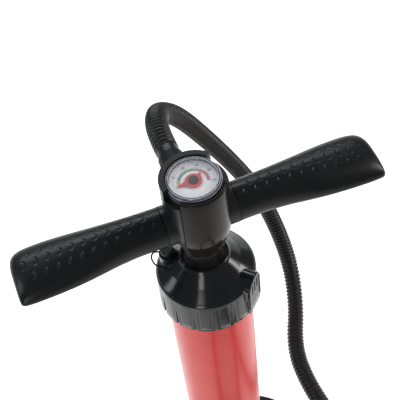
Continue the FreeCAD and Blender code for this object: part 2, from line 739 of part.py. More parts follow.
def make_gauge():
    wall = D["case_wall"]
    floor = D["case_floor"]
    stem = D["air_bore"] - 1
    node(turned("gauge_case_body", [
        (stem + 0.05, floor), (D["case_radius"], floor), (D["case_radius"], D["case_rim"]),
        (D["case_radius"] - wall, D["case_rim"]), (D["case_radius"] - wall, floor + wall),
        (stem + 0.05, floor + wall)]), "gauge_case")
    node(turned("gauge_stem_body", [
        (0, D["stem_foot"]), (D["air_bore"] - 0.3, D["stem_foot"]),
        (D["air_bore"] - 0.3, floor), (stem, floor), (stem, floor + D["stem_step"]),
        (0, floor + D["stem_step"])]), "gauge_stem")
    node(ring("gauge_mount_seal", D["air_bore"] + 1, D["air_bore"] + 5, D["cup_floor"],
              floor), "gauge_seal")
    node(torus("bourdon_body", D["bourdon_ring"], D["bourdon_section"], D["bourdon_height"],
               BOURDON_SWEEP), "bourdon_tube")
    movement = box("movement_block", D["movement_length"], D["movement_width"],
                   D["movement_height"], D["movement_length"] * -0.5,
                   D["movement_width"] * -0.5, D["spindle_foot"])
    spindle_hole = cylinder("movement_hole", D["spindle_radius"] + D["running_gap"], CLEAR,
                            z=floor)
    node(cut("movement_body", movement, spindle_hole), "gauge_movement")
    node(ring("dial_disc", D["spindle_radius"] + 0.3, D["dial_radius"],
              D["dial_face"] - D["dial_thickness"], D["dial_face"]), "dial_plate")
    node(ring("bezel_ring", D["dial_radius"] + 0.1, D["bezel_radius"], D["case_rim"] - 6,
              D["bezel_top"]), "gauge_bezel")
    inner = D["bezel_radius"] + 0.1
    under = D["lens_top"] - D["lens_thickness"]
    node(turned("lens_body", [
        (inner, D["case_rim"]), (D["case_radius"], D["case_rim"]),
        (D["case_radius"], D["lens_top"] - LENS_CHAMFER),
        (D["case_radius"] - LENS_CHAMFER, D["lens_top"]),
        (0, D["lens_top"]), (0, under), (inner, under)]), "gauge_lens")


def make_needle():
    floor = D["needle_floor"]
    thick = D["needle_thickness"]
    hub = cylinder("needle_hub_disc", D["needle_hub"], thick, z=floor)
    root = D["needle_root"].value
    tip = D["needle_tip"].value
    blade = needle_blade("needle_blade", D["needle_reach"].value, root, tip, NEEDLE_TURN)
    tail = needle_blade("needle_tail_blade", D["needle_tail"].value, root, tip * 2, TAIL_TURN)
    solid = fuse("needle_solid", hub, blade, tail)
    hole = cylinder("needle_hole", D["spindle_radius"] - 0.5, CLEAR, z=D["spindle_foot"])
    node(cut("needle_body", solid, hole), "gauge_needle")
    node(turned("needle_spindle_body", [
        (0, D["spindle_foot"]), (D["spindle_radius"], D["spindle_foot"]),
        (D["spindle_radius"], floor),
        (D["spindle_radius"] - 0.5, floor), (D["spindle_radius"] - 0.5, floor + thick),
        (0, floor + thick)]), "needle_spindle")
    node(turned("needle_cap_body", [
        (0, floor + thick), (D["needle_cap_radius"], floor + thick),
        (D["needle_cap_radius"], D["needle_cap_top"] - 0.5),
        (D["needle_cap_radius"] - 0.6, D["needle_cap_top"]), (0, D["needle_cap_top"])]),
        "needle_cap")


def needle_blade(name, reach, root, tip, angle):
    """A flat tapered blade from the centre to reach, turned to angle."""
    corners = [FreeCAD.Vector(0, -root, 0), FreeCAD.Vector(reach, -tip, 0),
               FreeCAD.Vector(reach, tip, 0), FreeCAD.Vector(0, root, 0)]
    face = Part.Face(Part.makePolygon(corners + corners[:1]))
    blade = shape_feature(name, face.extrude(Z_AXIS * D["needle_thickness"].value))
    blade.Placement = FreeCAD.Placement(
        FreeCAD.Vector(0, 0, D["needle_floor"].value), FreeCAD.Rotation(Z_AXIS, angle))
    return blade


# ---------------------------------------------------------------------- hose

def rounded_path(points):
    """Straight runs joined by tangent arcs: returns the wire, its length and the radii."""
    edges = []
    radii = []
    start = points[0]
    for before, corner, after in zip(points, points[1:], points[2:]):
        run_in = corner - before
        run_out = after - corner
        turn = run_in.getAngle(run_out)
        shorter = min(run_in.Length, run_out.Length)
        reach = ARC_SHARE * shorter
        radii.append(reach / math.tan(turn / 2))
        enter = corner - run_in.normalize() * reach
        leave = corner + run_out.normalize() * reach
        inward = ((enter + leave) * 0.5 - corner).normalize()
        middle = corner + inward * (radii[-1] * (1 / math.cos(turn / 2) - 1))
        edges.append(Part.LineSegment(start, enter).toShape())
        edges.append(Part.Arc(enter, middle, leave).toShape())
        start = leave
    edges.append(Part.LineSegment(start, points[-1]).toShape())
    wire = Part.Wire(edges)
    return wire, wire.Length, radii


def tube(name, points, radius):
    """A round bar along the rounded path through points, checked against its length."""
    wire, length, radii = rounded_path(points)
    circle = Part.makeCircle(radius, points[0], points[1] - points[0])
    solid = wire.makePipeShell([Part.Wire(circle)], True, True)
    expected = math.pi * radius ** 2 * length
    if abs(solid.Volume / expected - 1) > 0.01:
        raise ValueError(f"{name}: volume {solid.Volume:.0f}, expected {expected:.0f}")
    print(f"{name}: length {length:.0f} mm, bend radii "
          + " ".join(f"{value:.0f}" for value in radii))
    return shape_feature(name, solid), length, radii


def make_hose_fittings():
    start = D["port_start"] + 0.3
    flange_end = D["nut_start"] - start
    barb = D["barb_radius"]
    barb_end = D["cuff_end"] - 4 - start
    cuff_start = D["cuff_start"] - start
    cuff_end = D["cuff_end"] - start
    fitting = turned("hose_port_body", [
        (barb - 3, 0), (D["back_boss_radius"], 0), (D["back_boss_radius"], flange_end),
        (barb, flange_end), (barb, barb_end), (barb - 3, barb_end)])
    nut = ring("hose_nut_body", barb + 0.1, D["nut_radius"], flange_end + 0.1,
               D["nut_end"] - start)
    cuff = turned("hose_cuff_body", [
        (barb + 0.1, cuff_start), (D["cuff_radius"], cuff_start),
        (D["cuff_radius"], cuff_end - D["cuff_taper"]), (D["hose_radius"] + 0.6, cuff_end),
        (barb + 0.1, cuff_end)])
    seal = ring("hose_seal_body", D["air_bore"] + 1, D["air_bore"] + 5, -0.3, 0)
    for body, name in ((fitting, "hose_port"), (nut, "hose_nut"), (cuff, "hose_cuff"),
                       (seal, "hose_seal")):
        turn_to(body, Y_AXIS)
        place(body, 0, start, D["handle_height"])
        node(body, name)


def coil_point(turn, radius, height):
    angle = math.radians(turn)
    return FreeCAD.Vector(D["coil_across"].value + radius * math.cos(angle),
                          D["coil_forward"].value + radius * math.sin(angle), height)


def lead_points():
    """The hose's last stretch: round the coil's inner turn, rising onto the outer one."""
    radius = D["coil_inner_radius"].value + D["hose_radius"].value
    low = D["coil_lift"].value + D["hose_radius"].value
    high = D["nozzle_lift"].value
    points = []
    for step in range(LEAD_STEPS + 1):
        share = step / LEAD_STEPS
        rise = share * share * (3 - 2 * share)
        points.append(coil_point(LEAD_START + share * (LEAD_END - LEAD_START), radius,
                                 low + rise * (high - low)))
    return points


def make_hose():
    route = [FreeCAD.Vector(*point) for point in HOSE_ROUTE]
    radius = D["hose_radius"].value
    route[0].y -= TRIM_ALLOWANCE
    free, length, _ = tube("hose_run", route, radius)
    cuff_side = box("hose_cuff_side", CLEAR, CLEAR, CLEAR, -CLEAR / 2, D["cuff_end"] - CLEAR,
                    D["handle_height"] - CLEAR / 2)
    node(cut("hose_run_trimmed", free, cuff_side), "hose_tube")
    entry = [route[-1] + FreeCAD.Vector(0, -0.5, 0.6),
             coil_point(ENTRY_TURN, D["coil_radius"].value, D["coil_lift"].value + radius)]
    stub = shape_feature("coil_entry", Part.makeCylinder(
        radius, (entry[1] - entry[0]).Length, entry[0], entry[1] - entry[0]))
    lead, lead_length, _ = tube("coil_lead", lead_points(), radius)
    top = D["coil_lift"] + D["hose_radius"] * 2
    edge = COIL_CHAMFER
    winding = turned("coil_winding", [
        (D["coil_inner_radius"], D["coil_lift"]), (D["coil_outer_radius"] - edge,
         D["coil_lift"]), (D["coil_outer_radius"], D["coil_lift"] + edge),
        (D["coil_outer_radius"], top - edge), (D["coil_outer_radius"] - edge, top),
        (D["coil_inner_radius"] + edge, top), (D["coil_inner_radius"], top - edge)])
    place(winding, D["coil_across"], D["coil_forward"], 0)
    node(fuse("coil_body", winding, stub, lead), "hose_coil")
    print(f"free hose {length:.0f} mm, rising end {lead_length:.0f} mm")


def make_tie():
    """A strap round both strands of the coil, near the point where the hose joins it."""
    thick = D["tie_thickness"]
    inner = D["coil_inner_radius"] - 2.4
    outer = D["coil_outer_radius"] + 0.3
    width = D["tie_width"]
    frame = block("tie_frame", outer - inner + thick * 2, width, D["tie_height"])
    window = block("tie_window", outer - inner, width + 2, D["tie_height"] - thick * 2)
    turn = FreeCAD.Rotation(Z_AXIS, D["tie_turn"].value)
    centre = FreeCAD.Vector(D["coil_across"].value, D["coil_forward"].value, 0)
    corner = FreeCAD.Vector(inner.value - thick.value, -width.value / 2, 0.1)
    hole = FreeCAD.Vector(inner.value, -width.value / 2 - 1, 0.1 + thick.value)
    frame.Placement = FreeCAD.Placement(centre + turn.multVec(corner), turn)
    window.Placement = FreeCAD.Placement(centre + turn.multVec(hole), turn)
    node(cut("tie_body", frame, window), "hose_tie")


NOZZLE_GAP = 0.7


def make_nozzle():
    points = lead_points()
    start = points[-1]
    heading = points[-1] - points[-2]
    heading.z = 0
    heading.normalize()
    wide = D["nozzle_body_radius"]
    neck = D["nozzle_neck_radius"]
    spigot = D["spigot_radius"]
    bore = D["nozzle_bore"]
    body = turned("nozzle_blank", [
        (0, 0), (wide - 1, 0), (wide, 3), (wide, 24), (neck, 30), (neck, 62),
        (spigot - 0.5, 62), (spigot - 0.5, 64.4), (spigot, 64.4), (spigot, 82),
        (spigot - 1, 84), (bore, 84), (bore, 8), (0, 8)])
    collar = turned("nozzle_collar_blank", [
        (neck + 0.05, 34), (neck + 3.5, 34), (neck + 5, 36), (neck + 5, 55), (neck + 3.5, 57),
        (neck + 0.05, 57)])
    seal = turned("nozzle_seal_blank", [(spigot - 0.45, 62.1), (neck - 0.5, 62.1),
                                        (neck - 0.5, 64.2), (spigot - 0.45, 64.2)])
    for part, name in ((body, "nozzle_body"), (collar, "nozzle_collar"), (seal, "nozzle_seal")):
        part.Placement = FreeCAD.Placement(start + heading * NOZZLE_GAP,
                                           FreeCAD.Rotation(Z_AXIS, heading))
        node(part, name)
    print("nozzle start", start + heading * NOZZLE_GAP, "heading", heading)


# --------------------------------------------------------------------- build

def build_all():
    make_base_plate()
    make_base_feet()
    make_tread("left", -1)
    make_tread("right", 1)
    make_base_screws()
    make_bottom_cap()
    make_barrel()
    make_top_cap()
    make_intake()
    make_bush_and_seal()
    make_plug()
    make_tether()
    make_piston()
    make_hub()
    for side, sign in (("left", -1), ("right", 1)):
        make_grip(side, sign)
        make_core(side, sign)
    make_grip_screws()
    make_gauge()
    make_needle()
    make_hose_fittings()
    make_hose()
    make_tie()
    make_nozzle()


def check_and_write():
    doc.recompute()
    for obj in doc.Objects:
        if "Invalid" in obj.State or "Error" in obj.State:
            raise RuntimeError(f"{obj.Name} failed: {obj.State}")
    for name, obj in nodes.items():
        if obj.Shape.isNull() or not obj.Shape.isValid():
            raise RuntimeError(f"{name} has no valid shape")
    os.makedirs("parts", exist_ok=True)
    for name, obj in nodes.items():
        obj.Shape.exportStep(f"parts/{name}.step")
        extent = obj.Shape.optimalBoundingBox()
        print(f"{name}: {len(obj.Shape.Solids)} solid(s), {obj.Shape.Volume / 1000:.2f} cm3, "
              f"x {extent.XMin:.1f}..{extent.XMax:.1f} y {extent.YMin:.1f}..{extent.YMax:.1f} "
              f"z {extent.ZMin:.1f}..{extent.ZMax:.1f}")
    print(len(nodes), "nodes")


build_all()
check_and_write()
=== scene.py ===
import json
import math

import bmesh
import bpy
from mathutils import Matrix, Vector


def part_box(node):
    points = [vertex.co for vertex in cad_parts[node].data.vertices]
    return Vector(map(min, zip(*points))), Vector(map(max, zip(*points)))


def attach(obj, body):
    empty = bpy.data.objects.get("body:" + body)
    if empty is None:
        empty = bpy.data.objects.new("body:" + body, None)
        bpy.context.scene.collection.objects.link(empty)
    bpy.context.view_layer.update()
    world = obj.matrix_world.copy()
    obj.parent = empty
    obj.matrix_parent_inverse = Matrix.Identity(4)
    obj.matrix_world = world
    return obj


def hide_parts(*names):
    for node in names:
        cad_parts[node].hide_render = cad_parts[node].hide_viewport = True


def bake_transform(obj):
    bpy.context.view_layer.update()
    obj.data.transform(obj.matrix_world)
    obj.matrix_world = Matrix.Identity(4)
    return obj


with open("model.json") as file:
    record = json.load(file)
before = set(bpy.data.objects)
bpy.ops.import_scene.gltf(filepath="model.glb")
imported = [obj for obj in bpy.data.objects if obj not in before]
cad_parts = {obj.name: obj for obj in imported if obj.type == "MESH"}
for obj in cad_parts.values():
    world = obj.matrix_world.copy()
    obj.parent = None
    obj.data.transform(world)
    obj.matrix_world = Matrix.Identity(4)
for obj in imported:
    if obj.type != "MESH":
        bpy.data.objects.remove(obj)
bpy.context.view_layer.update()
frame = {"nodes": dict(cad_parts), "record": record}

# Upright hand pump, in metres, in the CAD frame: origin on the floor under the barrel,
# +Z up the rod, +X along the right grip, +Y to the back, where the hose leaves.

MM = 0.001
TAU = 2 * math.pi


def node_box(name):
    """Lowest and highest corner of a CAD node, as vectors."""
    low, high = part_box(name)
    return Vector(low), Vector(high)


CUFF_LOW, CUFF_HIGH = node_box("hose_cuff")
HANDLE_Z = (CUFF_LOW.z + CUFF_HIGH.z) / 2
DIAL_TOP = node_box("dial_plate")[1].z


# ------------------------------------------------------------------ material helpers

def new_material(name):
    material = bpy.data.materials.new(name)
    material.use_nodes = True
    return material, material.node_tree, material.node_tree.nodes["Principled BSDF"]


def add_noise(tree, scale, detail=4.0, roughness=0.55):
    place = tree.nodes.new("ShaderNodeTexCoord")
    grain = tree.nodes.new("ShaderNodeTexNoise")
    grain.inputs["Scale"].default_value = scale
    grain.inputs["Detail"].default_value = detail
    grain.inputs["Roughness"].default_value = roughness
    tree.links.new(place.outputs["Object"], grain.inputs["Vector"])
    return grain


def add_ramp(tree, source, stops):
    ramp = tree.nodes.new("ShaderNodeValToRGB")
    ramp.color_ramp.elements[0].position = stops[0][0]
    ramp.color_ramp.elements[0].color = (*stops[0][1], 1)
    ramp.color_ramp.elements[1].position = stops[-1][0]
    ramp.color_ramp.elements[1].color = (*stops[-1][1], 1)
    for position, colour in stops[1:-1]:
        ramp.color_ramp.elements.new(position).color = (*colour, 1)
    tree.links.new(source, ramp.inputs["Fac"])
    return ramp


def shade(colour, factor):
    return tuple(channel * factor for channel in colour)


# ------------------------------------------------------------------ camera, light, floor

CAMERA_AZIMUTH = -14.8
CAMERA_ELEVATION = 51.4
CAMERA_ROLL = -7.8
CAMERA_PLACE = Vector((-0.1331, -0.5171, 1.2518))
CAMERA_LENS = 82.8
SENSOR_WIDTH = 36
CLIP_END = 20

WORLD_COLOUR = (0.92, 0.96, 1.0, 1)
WORLD_STRENGTH = 0.22
# Name, place, size, energy and tint of each area light; all of them aim at the hub.
LIGHTS = [
    ("key", (1.7, -0.2, 1.5), (0.5, 1.3), 24, (1.0, 0.97, 0.93)),
    ("fill", (-0.9, -1.3, 1.1), (0.35, 1.2), 7, (1.0, 0.97, 0.94)),
    ("side", (-1.6, 0.5, 1.7), (0.5, 1.2), 9, (0.90, 0.95, 1.0)),
    ("back", (0.1, 1.5, 1.7), (1.6, 0.35), 12, (0.93, 0.97, 1.0)),
]

FLOOR_HALF = 40
FLOOR_COLOUR = (0.9, 0.9, 0.9, 1)
FLOOR_ROUGHNESS = 0.9
# Painted shade on the glowing floor: its glow rises from FRONT_GLOW in front to BACK_GLOW
# behind.
FLOOR_FRONT = -0.75
FLOOR_BACK = 0.05
FRONT_GLOW = 0.30
BACK_GLOW = 0.78


def make_camera():
    turn = math.radians(CAMERA_AZIMUTH)
    rise = math.radians(CAMERA_ELEVATION)
    forward = Vector((-math.sin(turn) * math.cos(rise), math.cos(turn) * math.cos(rise),
                      -math.sin(rise)))
    data = bpy.data.cameras.new("camera")
    data.lens = CAMERA_LENS
    data.sensor_width = SENSOR_WIDTH
    data.clip_end = CLIP_END
    camera = bpy.data.objects.new("camera", data)
    look = forward.to_track_quat("-Z", "Y").to_matrix().to_4x4()
    camera.matrix_world = (Matrix.Translation(CAMERA_PLACE) @ look
                           @ Matrix.Rotation(math.radians(CAMERA_ROLL), 4, "Z"))
    bpy.context.scene.collection.objects.link(camera)
    bpy.context.scene.camera = camera


def make_light(name, place, target, size, energy, tint):
    data = bpy.data.lights.new(name, "AREA")
    data.shape = "RECTANGLE"
    data.size, data.size_y = size
    data.energy = energy
    data.color = tint
    light = bpy.data.objects.new(name, data)
    light.location = place
    light.rotation_euler = (Vector(target) - Vector(place)).to_track_quat("-Z", "Y").to_euler()
    bpy.context.scene.collection.objects.link(light)


def make_surroundings():
    world = bpy.data.worlds.new("studio")
    bpy.context.scene.world = world
    world.use_nodes = True
    background = world.node_tree.nodes["Background"]
    background.inputs["Color"].default_value = WORLD_COLOUR
    background.inputs["Strength"].default_value = WORLD_STRENGTH
    target = (0, 0, HANDLE_Z)
    for name, place, size, energy, tint in LIGHTS:
        make_light(name, place, target, size, energy, tint)
    half = FLOOR_HALF
    mesh = bpy.data.meshes.new("floor")
    mesh.from_pydata([(-half, -half, 0), (half, -half, 0), (half, half, 0), (-half, half, 0)],
                     [], [(0, 1, 2, 3)])
    floor = bpy.data.objects.new("floor", mesh)
    bpy.context.scene.collection.objects.link(floor)
    mesh.materials.append(floor_material())


def floor_material():
    """Pale floor that glows, with painted shade: its glow is weaker towards the front, as under
    a light from behind.
    """
    material, tree, shader = new_material("floor")
    shader.inputs["Base Color"].default_value = FLOOR_COLOUR
    shader.inputs["Roughness"].default_value = FLOOR_ROUGHNESS
    shader.inputs["Emission Strength"].default_value = 1.0
    place = tree.nodes.new("ShaderNodeTexCoord")
    split = tree.nodes.new("ShaderNodeSeparateXYZ")
    tree.links.new(place.outputs["Object"], split.inputs["Vector"])
    spread = tree.nodes.new("ShaderNodeMapRange")
    spread.interpolation_type = "SMOOTHSTEP"
    spread.inputs["From Min"].default_value = FLOOR_FRONT
    spread.inputs["From Max"].default_value = FLOOR_BACK
    tree.links.new(split.outputs["Y"], spread.inputs["Value"])
    level = add_ramp(tree, spread.outputs["Result"],
                     [(0.0, (FRONT_GLOW,) * 3), (1.0, (BACK_GLOW,) * 3)])
    tree.links.new(level.outputs["Color"], shader.inputs["Emission Color"])
    return material


make_camera()
bpy.context.scene.view_settings.view_transform = "Standard"
make_surroundings()


# ------------------------------------------------------------------ materials

DRIFT_SCALE = 28.0
GLOSS_SCALE = 75.0
GRAIN_HEIGHT = 0.0002


def moulded(name, colour, roughness, spread=0.06, grain=900.0, bump=0.08, mottle=0.12,
            specular=0.5, metallic=0.0, sheen=0.0):
    """Moulded plastic, rubber or metal: fine grain in the height, a slow drift in colour
    and in gloss, so that no surface is one flat value."""
    material, tree, shader = new_material(name)
    drift = add_noise(tree, DRIFT_SCALE)
    tint = add_ramp(tree, drift.outputs["Fac"], [
        (0.3, shade(colour, 1 - mottle)), (0.7, shade(colour, 1 + mottle))])
    tree.links.new(tint.outputs["Color"], shader.inputs["Base Color"])
    gloss = add_noise(tree, GLOSS_SCALE, 6.0)
    low = roughness - spread
    high = roughness + spread
    level = add_ramp(tree, gloss.outputs["Fac"], [(0.3, (low,) * 3), (0.7, (high,) * 3)])
    tree.links.new(level.outputs["Color"], shader.inputs["Roughness"])
    fine = add_noise(tree, grain, 3.0)
    relief = tree.nodes.new("ShaderNodeBump")
    relief.inputs["Strength"].default_value = bump
    relief.inputs["Distance"].default_value = GRAIN_HEIGHT
    tree.links.new(fine.outputs["Fac"], relief.inputs["Height"])
    tree.links.new(relief.outputs["Normal"], shader.inputs["Normal"])
    shader.inputs["Specular IOR Level"].default_value = specular
    shader.inputs["Metallic"].default_value = metallic
    shader.inputs["Sheen Weight"].default_value = sheen
    return material


def red_barrel():
    """Glossy tinted plastic that lets some light through."""
    material = moulded("red_barrel", (0.66, 0.036, 0.028), 0.24, 0.03, 500.0, 0.03, 0.06,
                       specular=0.22)
    tree = material.node_tree
    shader = tree.nodes["Principled BSDF"]
    shader.inputs["Subsurface Weight"].default_value = 0.15
    shader.inputs["Subsurface Radius"].default_value = (0.02, 0.006, 0.005)
    shader.inputs["Subsurface Scale"].default_value = 0.6
    return material


def clear_plastic(name, colour, centre, edge, roughness=0.04):
    """Clear moulded plastic: seen through face on, paler and more solid at a glancing angle."""
    material = moulded(name, colour, roughness, 0.01, 500.0, 0.0, 0.03, specular=0.6)
    tree = material.node_tree
    shader = tree.nodes["Principled BSDF"]
    weight = tree.nodes.new("ShaderNodeLayerWeight")
    weight.inputs["Blend"].default_value = 0.35
    level = add_ramp(tree, weight.outputs["Facing"], [(0.0, (centre,) * 3), (1.0, (edge,) * 3)])
    tree.links.new(level.outputs["Color"], shader.inputs["Alpha"])
    return material


M = {
    "gloss_black": moulded("gloss_black", (0.008, 0.0085, 0.010), 0.14, 0.03, 700.0, 0.03, 0.15,
                           specular=0.36),
    "cover_black": moulded("cover_black", (0.011, 0.0095, 0.0085), 0.17, 0.03, 700.0, 0.03,
                           0.15, specular=0.12),
    "satin_black": moulded("satin_black", (0.010, 0.010, 0.011), 0.34, specular=0.3),
    "grip_black": moulded("grip_black", (0.0055, 0.0058, 0.0064), 0.34, 0.04, 1400.0, 0.10, 0.1,
                          specular=0.27),
    "hose_black": moulded("hose_black", (0.0075, 0.007, 0.007), 0.33, 0.06, 1200.0, 0.1, 0.15,
                          specular=0.26),
    "cuff_black": moulded("cuff_black", (0.010, 0.0095, 0.0095), 0.5, 0.05, 1500.0, 0.15, 0.1,
                          specular=0.16),
    "rubber_black": moulded("rubber_black", (0.014, 0.014, 0.014), 0.7, 0.06, 1500.0, 0.2,
                            specular=0.3),
    "strap_black": moulded("strap_black", (0.02, 0.02, 0.021), 0.85, 0.05, 2200.0, 0.6, 0.2,
                           sheen=0.3),
    "bush_black": moulded("bush_black", (0.008, 0.008, 0.008), 0.5, specular=0.25),
    "nozzle_grey": moulded("nozzle_grey", (0.12, 0.12, 0.125), 0.4),
    "aluminium": moulded("aluminium", (0.78, 0.78, 0.80), 0.28, 0.05, 1500.0, 0.1, 0.04,
                         metallic=1.0),
    "steel": moulded("steel", (0.55, 0.55, 0.57), 0.3, 0.06, 1500.0, 0.1, 0.06, metallic=1.0),
    "brass": moulded("brass", (0.72, 0.50, 0.22), 0.28, 0.06, 900.0, 0.1, 0.08, metallic=1.0),
    "dial_white": moulded("dial_white", (0.98, 0.98, 1.0), 0.4, 0.04, 1500.0, 0.03, 0.015),
    "bezel_silver": moulded("bezel_silver", (0.60, 0.60, 0.66), 0.18, 0.04, 900.0, 0.05, 0.08,
                            metallic=1.0),
    "needle_red": moulded("needle_red", (0.72, 0.045, 0.05), 0.3, 0.04, 900.0, 0.05, 0.05),
    "red_barrel": red_barrel(),
    "clear_lens": clear_plastic("clear_lens", (0.75, 0.78, 0.86), 0.03, 0.30),
    "lens_rim": clear_plastic("lens_rim", (0.10, 0.10, 0.14), 0.50, 0.92, 0.10),
    # A pale solid colour for the bright rings on the lens rim: painted highlight.
    "lens_highlight": moulded("lens_highlight", (0.72, 0.73, 0.80), 0.12, 0.02, 900.0, 0.02, 0.05),
}


def paint(name, colour):
    """Printed ink on the dial."""
    return moulded(name, colour, 0.45, 0.04, 1500.0, 0.02, 0.05, specular=0.1)


INKS = {
    "ink_black": paint("ink_black", (0.02, 0.02, 0.022)),
    "ink_lime": paint("ink_lime", (0.42, 0.46, 0.03)),
    "ink_green": paint("ink_green", (0.0, 0.22, 0.09)),
    "ink_red": paint("ink_red", (0.50, 0.03, 0.03)),
}


# ------------------------------------------------------------------ mesh helpers

def piece(name, verts, faces, material, body, replaces=(), slot=None, smooth=True):
    """A mesh piece of the object, riding on a CAD body."""
    mesh = bpy.data.meshes.new(name)
    mesh.from_pydata([tuple(v) for v in verts], [], faces)
    mesh.validate()
    mesh.update()
    obj = bpy.data.objects.new(name, mesh)
    bpy.context.scene.collection.objects.link(obj)
    mesh.materials.append(material)
    for polygon in mesh.polygons:
        polygon.use_smooth = smooth
    if body:
        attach(obj, body)
    if replaces:
        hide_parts(*replaces)
    return obj


def soften(outline, radius, steps=4, closed=True):
    """Round the corners of an outline of (r, z) points with small arcs."""
    result = []
    count = len(outline)
    for index in range(count):
        here = Vector(outline[index])
        if not closed and index in (0, count - 1):
            result.append(tuple(here))
            continue
        before = Vector(outline[index - 1])
        after = Vector(outline[(index + 1) % count])
        into = before - here
        out = after - here
        reach = min(radius, into.length * 0.45, out.length * 0.45)
        if here.x < 1e-6 or reach < 1e-6:
            result.append(tuple(here))
            continue
        start = here + into.normalized() * reach
        end = here + out.normalized() * reach
        for step in range(steps + 1):
            t = step / steps
            point = start * (1 - t) ** 2 + here * 2 * t * (1 - t) + end * t ** 2
            result.append(tuple(point))
    return result


def lathe_mesh(outline, segments=96):
    """Vertices and faces of a closed outline of (r, z) points turned about Z."""
    verts = []
    for row in range(segments):
        angle = TAU * row / segments
        for radius, height in outline:
            verts.append((radius * math.cos(angle), radius * math.sin(angle), height))
    count = len(outline)
    faces = []
    for row in range(segments):
        following = (row + 1) % segments
        for index in range(count):
            nxt = (index + 1) % count
            faces.append((row * count + index, following * count + index,
                          following * count + nxt, row * count + nxt))
    return verts, faces


def lathe(name, outline, material, body, radius, **kinds):
    """A turned piece with softened edges; points on the axis are merged."""
    verts, faces = lathe_mesh(soften(outline, radius))
    obj = piece(name, verts, faces, material, body, **kinds)
    merge(obj)


def merge(obj, distance=1e-6):
    """Join points that fall together, drop what has no area, and face outward."""
    work = bmesh.new()
    work.from_mesh(obj.data)
    bmesh.ops.remove_doubles(work, verts=work.verts, dist=distance)
    bmesh.ops.dissolve_degenerate(work, edges=work.edges, dist=distance)
    bmesh.ops.recalc_face_normals(work, faces=work.faces)
    work.to_mesh(obj.data)
    work.free()
    obj.data.update()


BEVEL_ANGLE = 35


def bevel(obj, width, segments=3):
    modifier = obj.modifiers.new("bevel", "BEVEL")
    modifier.width = width
    modifier.segments = segments
    modifier.limit_method = "ANGLE"
    modifier.angle_limit = math.radians(BEVEL_ANGLE)
    modifier.harden_normals = False


# ------------------------------------------------------------------ hose

HOSE_DIAMETER = 0.025
HOSE_ROUTE = [
    (0, 78, 562),
    (0, 112, 559.5),
    (6, 147, 547),
    (19, 185, 518.5),
    (48, 223, 464),
    (86, 248, 382),
    (131, 264, 284),
    (168, 264, 195),
    (190.5, 227, 87),
    (179, 172, 34),
    (148, 112, 13),
    (142, 52, 12.7),
    (150, -20, 12.7),
    (154, -85, 12.7),
    (154.5, -140, 12.7),
    (154, -190, 13.4),
]
COIL_CENTRE = Vector((0.014, -0.241, 0))
COIL_OUTER = 0.140
COIL_INNER = 0.113
COIL_FLOOR = 0.0138
COIL_END = -400.0
COIL_POINTS_PER_TURN = 16
RISE_START = -270.0
RISE_TOP = 0.0436
RIB_PITCH = 0.0056
RIB_DEPTH = 0.0015
RIB_RINGS = 6
RIB_PROFILE = [0.0, -0.15, -0.85, -1.0, -0.85, -0.15]     # one rib, in shares of its depth
PLAIN_RIBS = 2                                            # left smooth at either end
HOSE_SIDES = 28
SPLINE_STEPS = 24


def coil_points():
    """The put-away turn: from the outer radius inwards, then up onto itself."""
    points = []
    steps = round(-COIL_END / 360 * COIL_POINTS_PER_TURN)
    for step in range(steps + 1):
        turn = COIL_END * step / steps
        inward = min(1.0, max(0.0, turn / RISE_START))
        radius = COIL_OUTER + (COIL_INNER - COIL_OUTER) * inward
        climb = min(1.0, max(0.0, (turn - RISE_START) / (COIL_END - RISE_START)))
        climb = climb * climb * (3 - 2 * climb)
        angle = math.radians(turn)
        points.append(COIL_CENTRE + Vector((radius * math.cos(angle), radius * math.sin(angle),
                                            COIL_FLOOR + climb * (RISE_TOP - COIL_FLOOR))))
    return points


def spline_points(name, points):
    """The smooth line that a NURBS spline makes of the route's points."""
    data = bpy.data.curves.new(name, "CURVE")
    data.dimensions = "3D"
    spline = data.splines.new("NURBS")
    spline.points.add(len(points) - 1)
    for target, point in zip(spline.points, points):
        target.co = (*point, 1)
    spline.order_u = 3
    spline.use_endpoint_u = True
    spline.resolution_u = SPLINE_STEPS
    data.resolution_u = SPLINE_STEPS
    holder = bpy.data.objects.new(name, data)
    mesh = bpy.data.meshes.new_from_object(holder)
    line = [vertex.co.copy() for vertex in mesh.vertices]
    bpy.data.objects.remove(holder)
    bpy.data.meshes.remove(mesh)
    return line


def resample(line, pitch):
    """Points at an even spacing along a line, with its length."""
    lengths = [0.0]
    for first, second in zip(line, line[1:]):
        lengths.append(lengths[-1] + (second - first).length)
    total = lengths[-1]
    count = max(2, round(total / pitch))
    result = []
    segment = 0
    for step in range(count + 1):
        along = total * step / count
        while segment < len(lengths) - 2 and lengths[segment + 1] < along:
            segment += 1
        span = lengths[segment + 1] - lengths[segment]
        share = (along - lengths[segment]) / span if span else 0.0
        result.append(line[segment].lerp(line[segment + 1], share))
    return result, total


def tube_mesh(line, radius_at, sides):
    """A tube whose rings follow line without twisting; radius_at gives each ring's radius."""
    verts = []
    faces = []
    side = None
    count = len(line)
    for index, point in enumerate(line):
        ahead = line[min(index + 1, count - 1)] - line[max(index - 1, 0)]
        ahead.normalize()
        if side is None:
            side = ahead.orthogonal().normalized()
        side = (side - ahead * side.dot(ahead)).normalized()
        other = ahead.cross(side)
        radius = radius_at(index)
        for step in range(sides):
            angle = TAU * step / sides
            verts.append(point + (side * math.cos(angle) + other * math.sin(angle)) * radius)
    for index in range(count - 1):
        for step in range(sides):
            nxt = (step + 1) % sides
            faces.append((index * sides + step, index * sides + nxt, (index + 1) * sides + nxt,
                          (index + 1) * sides + step))
    faces.append(tuple(reversed(range(sides))))
    faces.append(tuple((count - 1) * sides + step for step in range(sides)))
    return verts, faces


